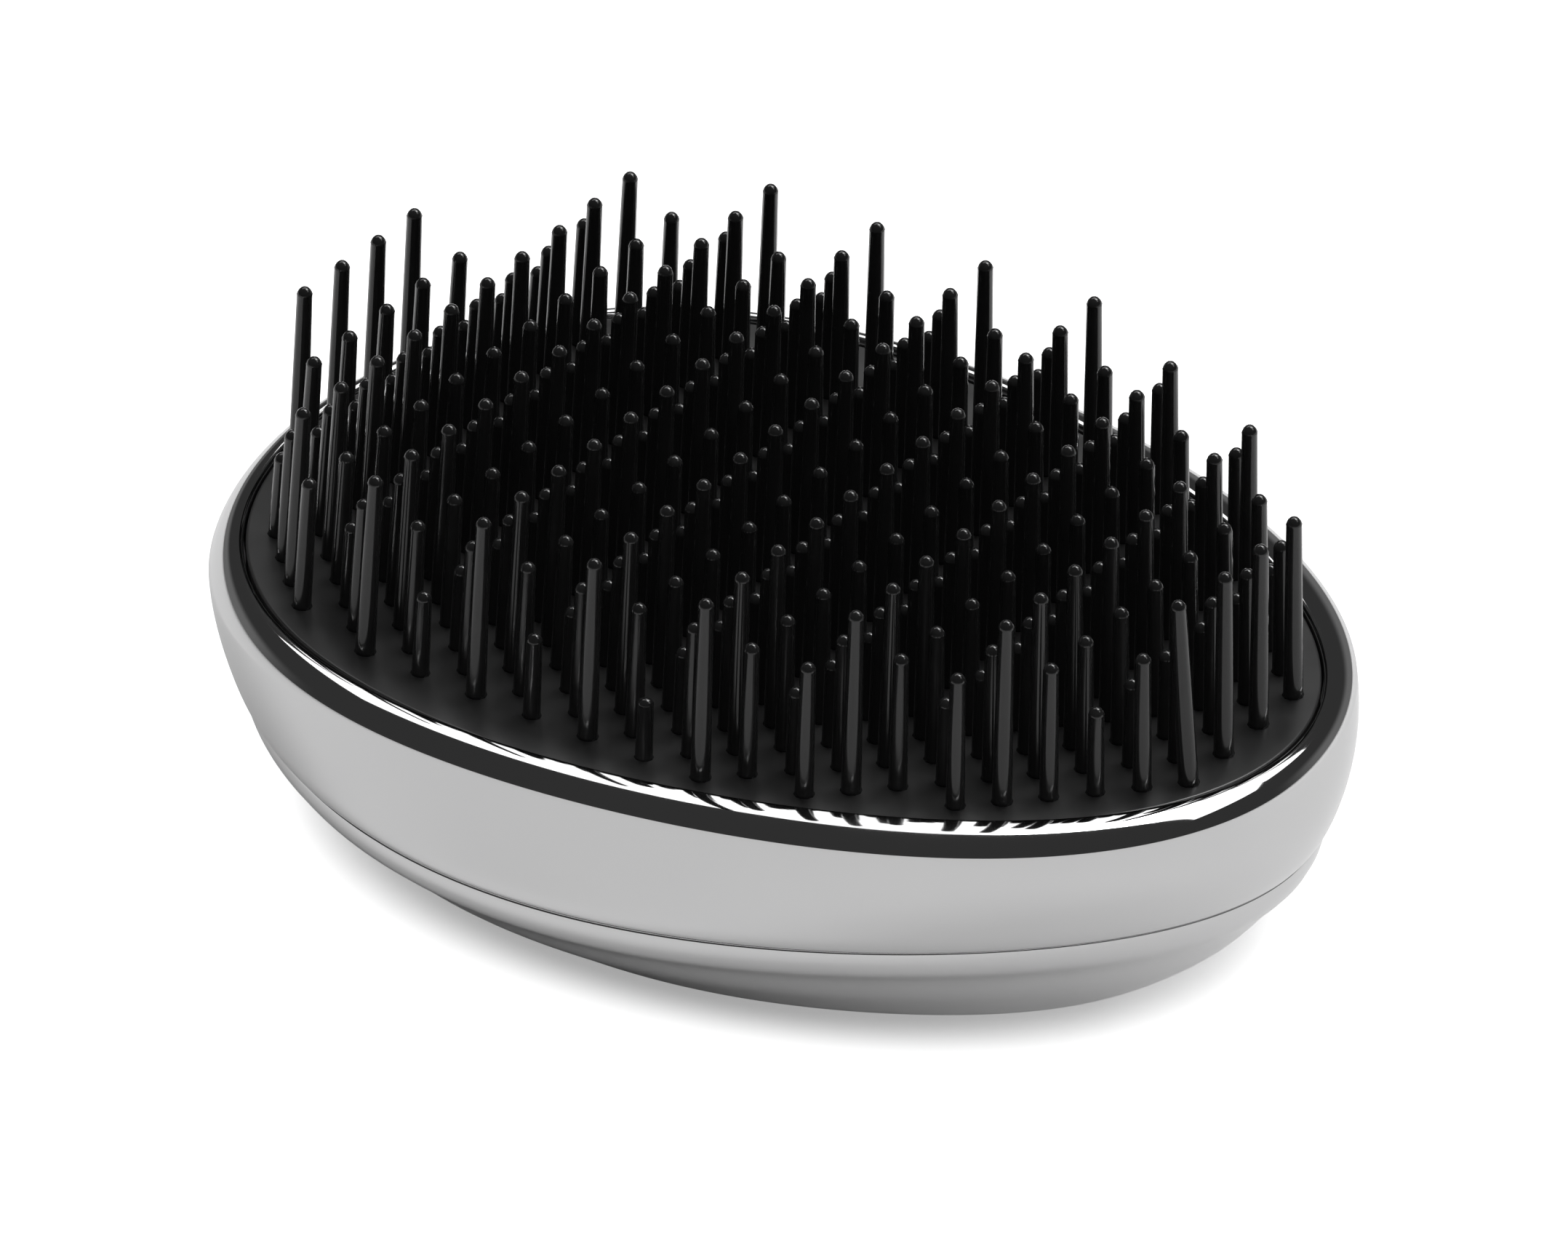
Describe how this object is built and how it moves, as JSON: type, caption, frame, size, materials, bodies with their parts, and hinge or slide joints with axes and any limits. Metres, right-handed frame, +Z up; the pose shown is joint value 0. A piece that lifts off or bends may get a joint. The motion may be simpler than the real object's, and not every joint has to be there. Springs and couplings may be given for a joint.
{
  "type": "detangling brush",
  "caption": "Palm-held detangling brush: egg-shaped mirror-plated grip in two shells, with a dished black plate of staggered long, medium and short flexible bristles.",
  "frame": {"origin": "Middle of the flat on the domed back, on the surface the brush lies on, below the middle of the egg outline.", "axes": "+X to the narrow end of the egg, +Y across the brush, +Z up, the way the bristles point."},
  "size_m": [0.1102, 0.089, 0.0535],
  "materials": {
    "plated_shell": "mirror-bright chrome plating on moulded plastic",
    "black_plastic": "glossy black moulded plastic",
    "black_bristle": "satin-gloss black flexible plastic"
  },
  "bodies": {
    "root": {"back_cover": "plated_shell", "rim_shell": "plated_shell", "bristle_plate": "black_plastic", "bristles_long": "black_bristle", "bristles_medium": "black_bristle", "bristles_short": "black_bristle"}
  },
  "joints": []
}
